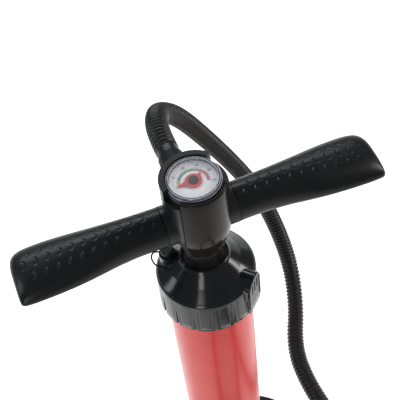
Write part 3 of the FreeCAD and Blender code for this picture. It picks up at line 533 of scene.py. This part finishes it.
def make_hose(tie):
    """The ribbed hose as one tube, from the cuff down to its put-away turn."""
    route = [Vector(point) * MM for point in HOSE_ROUTE] + coil_points()
    line = spline_points("hose_line", route)
    rings, length = resample(line, RIB_PITCH / RIB_RINGS)
    plain = RIB_RINGS * PLAIN_RIBS

    def radius_at(index):
        if index < plain or index > len(rings) - plain:
            return HOSE_DIAMETER / 2 - RIB_DEPTH * 0.5
        return HOSE_DIAMETER / 2 + RIB_DEPTH * RIB_PROFILE[index % RIB_RINGS]

    verts, faces = tube_mesh(rings, radius_at, HOSE_SIDES)
    hose = piece("hose", verts, faces, M["hose_black"], None,
                 replaces=("hose_tube", "hose_coil"), slot="hose_black")
    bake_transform(hose)


# ------------------------------------------------------------------ grips

# Stations along a grip: distance from the hub's centre in mm, then half depth at the
# back and front, height above and below the axis.
GRIP_STATIONS = [
    (36.6, 19.5, 20.2, 20.0, 18.3),
    (52, 19.8, 20.0, 20.0, 18.3),
    (70, 20.8, 20.6, 20.0, 18.4),
    (88, 22.4, 23.0, 19.6, 18.2),
    (106, 24.4, 26.8, 19.0, 17.8),
    (124, 26.6, 30.2, 18.0, 17.0),
    (142, 28.2, 32.2, 16.8, 16.0),
    (156, 28.6, 33.0, 15.8, 14.8),
    (167, 28.0, 33.2, 14.8, 13.6),
    (173.5, 26.4, 33.0, 13.6, 12.6),
    (177.5, 23.6, 32.6, 12.2, 11.4),
    (180.2, 19.6, 31.6, 10.2, 9.8),
    (181.6, 14.0, 29.6, 7.8, 7.6),
    (182.2, 8.0, 26.0, 4.8, 4.6),
    (182.4, 2.0, 20.0, 2.0, 2.0),
]
GRIP_STEPS = 250
GRIP_EVEN = 0.9                      # share of the length with even steps, closer beyond it
GRIP_TOP_STEPS = 96
GRIP_UNDER_STEPS = 40
GRIP_TOP_ARC = (-5, 140)             # first angle and sweep of the finely stepped side
GRIP_UNDER_ARC = (135, 220)
CREASE_START = 70
CREASE_END = 165
CREASE_BELOW = 0.62
CREASE_ABOVE = 0.35
MARK_PITCH = 11.6
MARK_FIRST = 48.0
MARK_LAST = 170.0
MARK_ROWS = [110.0, 87.0, 65.0]      # degrees round the section, 90 on top, 180 in front
MARK_RADIUS = 3.1
MARK_DEPTH = 0.75


def smooth_between(x, low, high):
    """0 below low, 1 above high, and a smooth step between them."""
    share = min(1.0, max(0.0, (x - low) / (high - low)))
    return share * share * (3 - 2 * share)


def grip_sizes(x):
    """Back, front, above and below at a distance x, by a smooth curve through the stations."""
    xs = [station[0] for station in GRIP_STATIONS]
    index = max(i for i in range(len(xs) - 1) if xs[i] <= x + 1e-9)
    span = xs[index + 1] - xs[index]
    t = (x - xs[index]) / span
    result = []
    for column in range(1, 5):
        here = GRIP_STATIONS[index][column]
        after = GRIP_STATIONS[index + 1][column]
        slopes = []
        for side in (index, index + 1):
            low = max(side - 1, 0)
            high = min(side + 1, len(xs) - 1)
            slopes.append((GRIP_STATIONS[high][column] - GRIP_STATIONS[low][column])
                          / (xs[high] - xs[low]) * span)
        value = (here * (2 * t ** 3 - 3 * t ** 2 + 1) + after * (3 * t ** 2 - 2 * t ** 3)
                 + slopes[0] * (t ** 3 - 2 * t ** 2 + t) + slopes[1] * (t ** 3 - t ** 2))
        result.append(value)
    return result


def grip_depth(x, degrees, girth):
    """How deep the thumb marks are pressed at a place: crescents in staggered rows."""
    depth = 0.0
    for row, centre in enumerate(MARK_ROWS):
        across = math.radians(degrees - centre) * girth
        if abs(across) > MARK_RADIUS * 1.2:
            continue
        shift = MARK_PITCH * 0.5 * (row % 2)
        number = round((x - MARK_FIRST - shift) / MARK_PITCH)
        place = MARK_FIRST + shift + number * MARK_PITCH
        if not MARK_FIRST <= place <= MARK_LAST:
            continue
        along = x - place
        outer = math.hypot(along, across) / MARK_RADIUS
        inner = math.hypot(along - 1.5, across + 0.6) / (MARK_RADIUS * 0.95)
        inside = 1 - smooth_between(outer, 0.82, 1.05)
        beyond = smooth_between(inner, 0.80, 1.10)
        strength = 1.0 if row == 0 else 0.6
        depth = max(depth, MARK_DEPTH * strength * inside * beyond)
    return depth


def grip_places():
    """Distances along a grip, closer together where its end rounds over."""
    first = GRIP_STATIONS[0][0]
    last = GRIP_STATIONS[-1][0]
    rest = 1 - GRIP_EVEN
    places = []
    for step in range(GRIP_STEPS + 1):
        share = step / GRIP_STEPS
        if share >= GRIP_EVEN:
            share = GRIP_EVEN + rest * math.sin((share - GRIP_EVEN) / rest * math.pi / 2)
        places.append(min(first + (last - first) * share, last))
    return places


def make_grip(side, sign):
    """One flared grip: superellipse sections through the stations, with thumb marks."""
    xs = grip_places()
    low, sweep = GRIP_TOP_ARC
    angles = [low + sweep * step / GRIP_TOP_STEPS for step in range(GRIP_TOP_STEPS)]
    low, sweep = GRIP_UNDER_ARC
    angles += [low + sweep * step / GRIP_UNDER_STEPS for step in range(GRIP_UNDER_STEPS)]
    count = len(angles)
    verts = []
    faces = []
    for x in xs:
        back, front, above, below = grip_sizes(x)
        crease = smooth_between(x, CREASE_START, CREASE_END)
        for degrees in angles:
            turn = math.radians(degrees)
            across = math.cos(turn)
            up = math.sin(turn)
            power = 2.0
            if across < 0 and up < 0:
                power = 2.0 - CREASE_BELOW * crease
            elif across < 0:
                power = 2.0 + CREASE_ABOVE * crease
            wide = abs(across) ** (2 / power) * (back if across > 0 else front)
            tall = abs(up) ** (2 / power) * (above if up > 0 else below)
            y = math.copysign(wide, across)
            z = math.copysign(tall, up)
            press = grip_depth(x, degrees, (above + back) / 2)
            if press:
                reach = math.hypot(y, z)
                y -= y / reach * press
                z -= z / reach * press
            verts.append((sign * x * MM, y * MM, HANDLE_Z + z * MM))
    for row in range(len(xs) - 1):
        for index in range(count):
            nxt = (index + 1) % count
            faces.append((row * count + index, row * count + nxt, (row + 1) * count + nxt,
                          (row + 1) * count + index))
    faces.append(tuple(range(count)))
    faces.append(tuple((len(xs) - 1) * count + index for index in reversed(range(count))))
    grip = piece(f"grip_skin_{side}", verts, faces, M["grip_black"], "handle",
                 replaces=(f"grip_{side}",), slot="grip_black")
    merge(grip)


# ------------------------------------------------------------------ hub cover

# The cover's outer line from its rim down to the neck, as (radius, height) in mm.
COVER_LINE = [
    (30.8, 614.6), (31.6, 614.2), (32.1, 612.8), (32.3, 606), (32.3, 590), (32.2, 575),
    (32.1, 565), (31.9, 559), (31.4, 553), (30.6, 547.5), (29.5, 542.5), (28.2, 538),
    (27.0, 534), (25.8, 530), (24.6, 526), (23.8, 523.4), (23.1, 522.8), (23.1, 521.8),
    (23.3, 521), (22.7, 516), (21.7, 511), (20.9, 508.3), (20.2, 507.8),
]
COVER_SKIN = 2.6
COVER_START = -134.0
COVER_SWEEP = 104.0
COVER_COLUMNS = 104
COVER_MM_PER_DEGREE = 0.56
COVER_EDGE_WIDTH = 1.4
COVER_EDGE_FALL = 0.9
COVER_SEAM = 522.8
COVER_FOOT = 507.8
NOTCH_CENTRE = -50.0
NOTCH_HALF = 21.0
NOTCH_RISE = 12.0


def make_cover():
    """The glossy front shell, a part-turn of the hub with a rounded edge all round."""

    def lifted(height, degrees):
        """Draw the neck's lower edge up over the arched cut-out."""
        off = abs(degrees - NOTCH_CENTRE) / NOTCH_HALF
        if off >= 1 or height >= COVER_SEAM:
            return height
        foot = COVER_FOOT + NOTCH_RISE * math.sqrt(1 - off * off)
        share = (COVER_SEAM - height) / (COVER_SEAM - COVER_FOOT)
        return COVER_SEAM - share * (COVER_SEAM - foot)

    outer = soften([Vector(p) for p in COVER_LINE], 1.0, 3, closed=False)
    columns = COVER_COLUMNS
    grid = []
    for column in range(columns + 1):
        share = column / columns
        angle = math.radians(COVER_START + COVER_SWEEP * share)
        edge = min(share, 1 - share) * COVER_SWEEP * COVER_MM_PER_DEGREE
        fall = COVER_EDGE_FALL * (1 - min(1.0, edge / COVER_EDGE_WIDTH)) ** 2
        degrees = math.degrees(angle)
        grid.append([((radius - fall) * math.cos(angle), (radius - fall) * math.sin(angle),
                      lifted(height, degrees)) for radius, height in outer])
    inner = []
    for column in range(columns + 1):
        angle = math.radians(COVER_START + COVER_SWEEP * column / columns)
        inner.append([((radius - COVER_SKIN) * math.cos(angle),
                       (radius - COVER_SKIN) * math.sin(angle),
                       lifted(height, math.degrees(angle))) for radius, height in outer])
    verts = [v for line in grid for v in line] + [v for line in inner for v in line]
    rows = len(outer)
    base = (columns + 1) * rows
    faces = []
    for column in range(columns):
        for row in range(rows - 1):
            a = column * rows + row
            faces.append((a, a + 1, a + rows + 1, a + rows))
            faces.append((base + a, base + a + rows, base + a + rows + 1, base + a + 1))
        low = column * rows
        faces.append((low, low + rows, base + low + rows, base + low))
        high = low + rows - 1
        faces.append((high, base + high, base + high + rows, high + rows))
    for row in range(rows - 1):
        faces.append((row, base + row, base + row + 1, row + 1))
        end = columns * rows + row
        faces.append((end, end + 1, base + end + 1, base + end))
    cover = piece("hub_cover_skin", [(x * MM, y * MM, z * MM) for x, y, z in verts], faces,
                  M["cover_black"], "handle", replaces=("hub_front_cover",), slot="gloss_black")
    merge(cover)


# ------------------------------------------------------------------ gauge face

INK_HEIGHT = 0.00012
INK_SINK = 0.00004
DIAL_ZERO = 184.0
DIAL_PER_UNIT = 8.16
DIAL_TOP_VALUE = 25
BANDS = [("lime", 0, 4, "ink_lime"), ("green", 4, 15, "ink_green"),
         ("red", 15, DIAL_TOP_VALUE, "ink_red")]
BAND_INNER = 12.2
BAND_OUTER = 15.2
BAND_FILL = 0.62                     # printed share of every half unit
TICK_INNER = 15.4
TICK_OUTER = 16.2
LONG_TICK_OUTER = 17.0
TICK_HALF = 0.55
NUMBER_STEP = 5
NUMBER_RADIUS = 0.0192
NUMBER_SIZE = 0.0040
NUMBER_RAISE = 0.00006


def dial_band(name, start, end, inner, outer, material, steps):
    """A thin printed arc, start to end in degrees, radii in mm."""
    verts = []
    faces = []
    for step in range(steps + 1):
        angle = math.radians(start + (end - start) * step / steps)
        for radius in (inner, outer):
            for level in (-INK_SINK, INK_HEIGHT):
                verts.append((radius * MM * math.cos(angle), radius * MM * math.sin(angle),
                              DIAL_TOP + level))
    for step in range(steps):
        a = step * 4
        b = a + 4
        faces += [(a + 1, a + 3, b + 3, b + 1), (a, b, b + 2, a + 2),
                  (a, a + 1, b + 1, b), (a + 2, b + 2, b + 3, a + 3)]
    faces += [(0, 2, 3, 1), (steps * 4, steps * 4 + 1, steps * 4 + 3, steps * 4 + 2)]
    band = piece(name, verts, faces, material, "handle", slot="dial_white", smooth=False)
    merge(band, 1e-7)


def make_dial_print():
    """Coloured bands, ticks and generic numbers, clockwise from zero."""
    for tag, low, high, ink in BANDS:
        for value in range(low * 2, high * 2):
            start = DIAL_ZERO - DIAL_PER_UNIT * value / 2
            dial_band(f"dial_{tag}_{value}", start, start - DIAL_PER_UNIT * 0.5 * BAND_FILL,
                      BAND_INNER, BAND_OUTER, INKS[ink], 2)
    for value in range(0, DIAL_TOP_VALUE + 1):
        centre = DIAL_ZERO - DIAL_PER_UNIT * value
        outer = LONG_TICK_OUTER if value % NUMBER_STEP == 0 else TICK_OUTER
        dial_band(f"dial_tick_{value}", centre + TICK_HALF, centre - TICK_HALF, TICK_INNER,
                  outer, INKS["ink_black"], 1)
    for value in range(NUMBER_STEP, DIAL_TOP_VALUE + 1, NUMBER_STEP):
        angle = math.radians(DIAL_ZERO - DIAL_PER_UNIT * value)
        data = bpy.data.curves.new(f"dial_number_{value}", "FONT")
        data.body = str(value)
        data.size = NUMBER_SIZE
        data.align_x = "CENTER"
        data.align_y = "CENTER"
        data.extrude = NUMBER_RAISE
        holder = bpy.data.objects.new("number", data)
        mesh = bpy.data.meshes.new_from_object(holder)
        bpy.data.objects.remove(holder)
        obj = bpy.data.objects.new(f"dial_number_{value}", mesh)
        bpy.context.scene.collection.objects.link(obj)
        mesh.materials.clear()
        mesh.materials.append(INKS["ink_black"])
        mesh.transform(Matrix.Translation((NUMBER_RADIUS * math.cos(angle),
                                           NUMBER_RADIUS * math.sin(angle),
                                           DIAL_TOP + NUMBER_RAISE)))
        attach(obj, "handle")


# Closed outlines of the lens, as (radius, height) in mm.
LENS_RIM_LINE = [
    (24.7, 606), (26.2, 606), (26.3, 606.6), (26.3, 613.6), (25.9, 615.4), (25.0, 616.6),
    (24.0, 617.0), (23.2, 616.6), (22.9, 615.9), (23.2, 615.4), (24.4, 615.2), (24.7, 614.6),
]
LENS_WINDOW_LINE = [(0, 615.5), (23.1, 615.5), (23.1, 616.1), (12, 616.5), (0, 616.6)]
# Tag, radius, height and half width of each painted highlight ring on the rim.
LENS_RINGS = [("outer", 26.15, 613.9, 0.22), ("middle", 25.0, 616.5, 0.16),
              ("inner", 23.2, 616.5, 0.22)]
LENS_RIM_ROUND = 0.0003
LENS_FINE_ROUND = 0.0001


def make_lens():
    """The clear window with its thick moulded rim and the rings of painted highlight on its
    edges.
    """
    lathe("lens_rim", [(r * MM, z * MM) for r, z in LENS_RIM_LINE], M["lens_rim"], "handle",
          LENS_RIM_ROUND, slot="clear_lens", replaces=("gauge_lens",))
    for tag, radius, height, half in LENS_RINGS:
        band = [(radius - half, height - half), (radius + half, height - half),
                (radius + half, height + half), (radius - half, height + half)]
        # Pale solid rings on the rim's edges stand in for light caught there: painted
        # highlights.
        lathe(f"lens_highlight_{tag}", [(r * MM, z * MM) for r, z in band], M["lens_highlight"],
              "handle", LENS_FINE_ROUND, slot="clear_lens")
    lathe("lens_window", [(r * MM, z * MM) for r, z in LENS_WINDOW_LINE], M["clear_lens"],
          "handle", LENS_FINE_ROUND, slot="clear_lens")


# ------------------------------------------------------------------ cap

# The cap's outer line from the collar's foot to the bush, as (radius, height) in mm.
CAP_LINE = [
    (48.0, 433.2), (52.1, 433.2), (52.6, 433.8), (52.5, 440), (52.2, 450), (51.9, 460),
    (51.6, 468), (51.4, 473), (51.2, 474.6), (50.6, 475.3), (49.9, 475.4), (49.8, 475.9),
    (49.7, 476.5), (49.2, 477.0), (48.2, 477.5), (45.5, 479.0), (42.5, 480.9), (39.5, 483.1),
    (36.5, 485.6), (33.5, 488.4), (31.0, 491.1), (29.0, 493.6), (27.3, 496.1), (26.0, 498.2),
    (25.2, 499.3), (24.4, 499.9), (23.5, 500.1), (22.6, 499.9), (22.1, 499.2), (21.9, 498),
    (21.9, 490),
]
CAP_STEPS = 480
CAP_WALL = 0.002
COLLAR_RADIUS = 52
COLLAR_INSIDE = 50                   # only what lies outside this radius is ribbed
NOTCH_COUNT = 16
NOTCH_WIDTH = 9.0
NOTCH_EDGE = 0.5
NOTCH_SINK = 1.5
NOTCH_FADE = (464, 470)              # heights between which a rib's hollow runs out
PORT_TURN = -46.0
PORT_CLEAR = (15, 17)                # degrees either side of the intake without hollows


def make_cap():
    """Ribbed collar and smooth flare in one turned shell, laid over the CAD cap."""
    steps = CAP_STEPS
    pitch = 360 / NOTCH_COUNT
    half = NOTCH_WIDTH / 2
    verts = []
    count = len(CAP_LINE)
    for step in range(steps):
        degrees = 360 * step / steps
        angle = math.radians(degrees)
        offset = ((degrees - PORT_TURN) / pitch - 0.5) % 1.0
        away = min(offset, 1 - offset) * math.radians(pitch) * COLLAR_RADIUS
        sink = 1 - smooth_between(away, half - NOTCH_EDGE, half + NOTCH_EDGE)
        off_port = abs((degrees - PORT_TURN + 180) % 360 - 180)
        sink *= smooth_between(off_port, *PORT_CLEAR)
        for radius, height in CAP_LINE:
            depth = 0
            if radius > COLLAR_INSIDE:
                depth = NOTCH_SINK * sink * (1 - smooth_between(height, *NOTCH_FADE))
            verts.append(((radius - depth) * MM * math.cos(angle),
                          (radius - depth) * MM * math.sin(angle), height * MM))
    faces = []
    for step in range(steps):
        following = (step + 1) % steps
        for index in range(count - 1):
            faces.append((step * count + index, following * count + index,
                          following * count + index + 1, step * count + index + 1))
    cap = piece("cap_shell", verts, faces, M["gloss_black"], "barrel", slot="gloss_black")
    modifier = cap.modifiers.new("wall", "SOLIDIFY")
    modifier.thickness = CAP_WALL
    modifier.offset = -1


LIP_HALF = 11.6
LIP_FOOT = 441.0
LIP_SPRING = 472
LIP_STEPS = 24
# Section of the arch, as (across, distance out) in mm.
LIP_SECTION = [(-0.9, 52.6), (-0.9, 54.5), (-0.5, 54.9), (0.5, 54.9), (0.9, 54.5), (0.9, 52.6)]
LIP_BEVEL = 0.0004
GUSSET_LINE = [(42.0, 478.5), (53.0, 473.0), (53.0, 459.0), (50.0, 459.0)]
GUSSET_SIDE = -14.2
GUSSET_HALF = 0.9


def make_port_lip():
    """The raised arch round the intake grille, and the small gusset at its left."""
    turn = math.radians(PORT_TURN)
    outward = Vector((math.cos(turn), math.sin(turn), 0))
    side = Vector((-math.sin(turn), math.cos(turn), 0))
    line = [(-LIP_HALF, LIP_FOOT)]
    for step in range(LIP_STEPS + 1):
        angle = math.pi - math.pi * step / LIP_STEPS
        line.append((LIP_HALF * math.cos(angle), LIP_SPRING + LIP_HALF * math.sin(angle)))
    line.append((LIP_HALF, LIP_FOOT))
    verts = []
    faces = []
    for index, (across, height) in enumerate(line):
        before = Vector(line[max(index - 1, 0)])
        after = Vector(line[min(index + 1, len(line) - 1)])
        run = (after - before).normalized()
        normal = Vector((-run.y, run.x))
        for shift, reach in LIP_SECTION:
            verts.append((side * (across + normal.x * shift) + outward * reach
                          + Vector((0, 0, height + normal.y * shift))) * MM)
    count = len(LIP_SECTION)
    for index in range(len(line) - 1):
        for corner in range(count):
            nxt = (corner + 1) % count
            faces.append((index * count + corner, index * count + nxt,
                          (index + 1) * count + nxt, (index + 1) * count + corner))
    faces.append(tuple(range(count)))
    faces.append(tuple((len(line) - 1) * count + corner for corner in reversed(range(count))))
    lip = piece("port_lip", verts, faces, M["gloss_black"], "barrel", slot="gloss_black")
    merge(lip)
    gusset = []
    for level in (-1.0, 1.0):
        for reach, height in GUSSET_LINE:
            gusset.append((side * (GUSSET_SIDE + level * GUSSET_HALF) + outward * reach
                           + Vector((0, 0, height))) * MM)
    walls = [(0, 1, 2, 3), (7, 6, 5, 4), (0, 4, 5, 1), (1, 5, 6, 2), (2, 6, 7, 3), (3, 7, 4, 0)]
    rib = piece("port_gusset", gusset, walls, M["gloss_black"], "barrel", slot="gloss_black",
                smooth=False)
    merge(rib)
    bevel(rib, LIP_BEVEL, 2)


# ------------------------------------------------------------------ hose strap

TIE_TURN = -8.0
TIE_WIDTH = 0.020
TIE_GAP = 0.0006
TIE_THICK = 0.0013
TIE_STEPS = 72
TIE_LAP = (0.30, 0.55)               # shares of the loop between which it lies double
TIE_FLOOR = 0.0002
TIE_BEVEL = 0.0003


def strand_at(turn):
    """Centre of the coil's strand at a turn in degrees, as (radius, height)."""
    points = coil_points()
    place = turn / COIL_END * (len(points) - 1)
    index = min(int(place), len(points) - 2)
    point = points[index].lerp(points[index + 1], place - index) - COIL_CENTRE
    return Vector((math.hypot(point.x, point.y), point.z))


def make_tie():
    """A webbing strap drawn round both strands, with its lapped end."""
    strands = [strand_at(TIE_TURN), strand_at(TIE_TURN - 360)]
    steps = TIE_STEPS
    turn = math.radians(TIE_TURN)
    outward = Vector((math.cos(turn), math.sin(turn), 0))
    along = Vector((-math.sin(turn), math.cos(turn), 0))
    verts = []
    faces = []
    for step in range(steps):
        angle = TAU * step / steps
        heading = Vector((math.cos(angle), math.sin(angle)))
        centre = max(strands, key=lambda strand: strand.dot(heading))
        lap = TIE_THICK if TIE_LAP[0] < step / steps < TIE_LAP[1] else 0.0
        for half, reach in ((-1, 0.0), (1, 0.0), (1, TIE_THICK + lap), (-1, TIE_THICK + lap)):
            spot = centre + heading * (HOSE_DIAMETER / 2 + TIE_GAP + reach)
            verts.append(COIL_CENTRE + outward * spot.x + Vector((0, 0, max(spot.y, TIE_FLOOR)))
                         + along * (half * TIE_WIDTH / 2))
    for step in range(steps):
        following = (step + 1) % steps
        for corner in range(4):
            nxt = (corner + 1) % 4
            faces.append((step * 4 + corner, following * 4 + corner, following * 4 + nxt,
                          step * 4 + nxt))
    tie = piece("hose_strap", verts, faces, M["strap_black"], "barrel", replaces=("hose_tie",),
                slot="strap_black")
    merge(tie)
    bevel(tie, TIE_BEVEL, 2)
    return tie


# ------------------------------------------------------------------ carried CAD nodes

BEVELS = {
    "gauge_housing": 0.0010, "rod_bush": 0.0006, "mode_plug": 0.0006, "hose_nut": 0.0012,
    "hose_cuff": 0.0006, "hose_port": 0.0006, "needle_cap": 0.0004, "gauge_needle": 0.0002,
    "intake_grille": 0.0003, "top_cap": 0.0008, "base_plate": 0.0012, "foot_tread_left": 0.0008,
    "foot_tread_right": 0.0008, "base_feet": 0.0008, "nozzle_body": 0.0006,
    "nozzle_collar": 0.0006, "barrel_tube": 0.0006, "gauge_bezel": 0.0004,
}


def dress_nodes():
    """Every CAD node takes its slot's material, and the seen ones a fine bevel."""
    slots = {entry["node"]: entry["material_slot"] for entry in frame["record"]["subparts"]}
    for name, obj in frame["nodes"].items():
        obj.data.materials.clear()
        obj.data.materials.append(M[slots[name]])
        if name in BEVELS:
            for polygon in obj.data.polygons:
                polygon.use_smooth = True
            bevel(obj, BEVELS[name])
            obj.modifiers.new("normals", "WEIGHTED_NORMAL")


make_hose(make_tie())
make_grip("left", -1)
make_grip("right", 1)
make_cover()
make_dial_print()
make_lens()
make_cap()
make_port_lip()
dress_nodes()
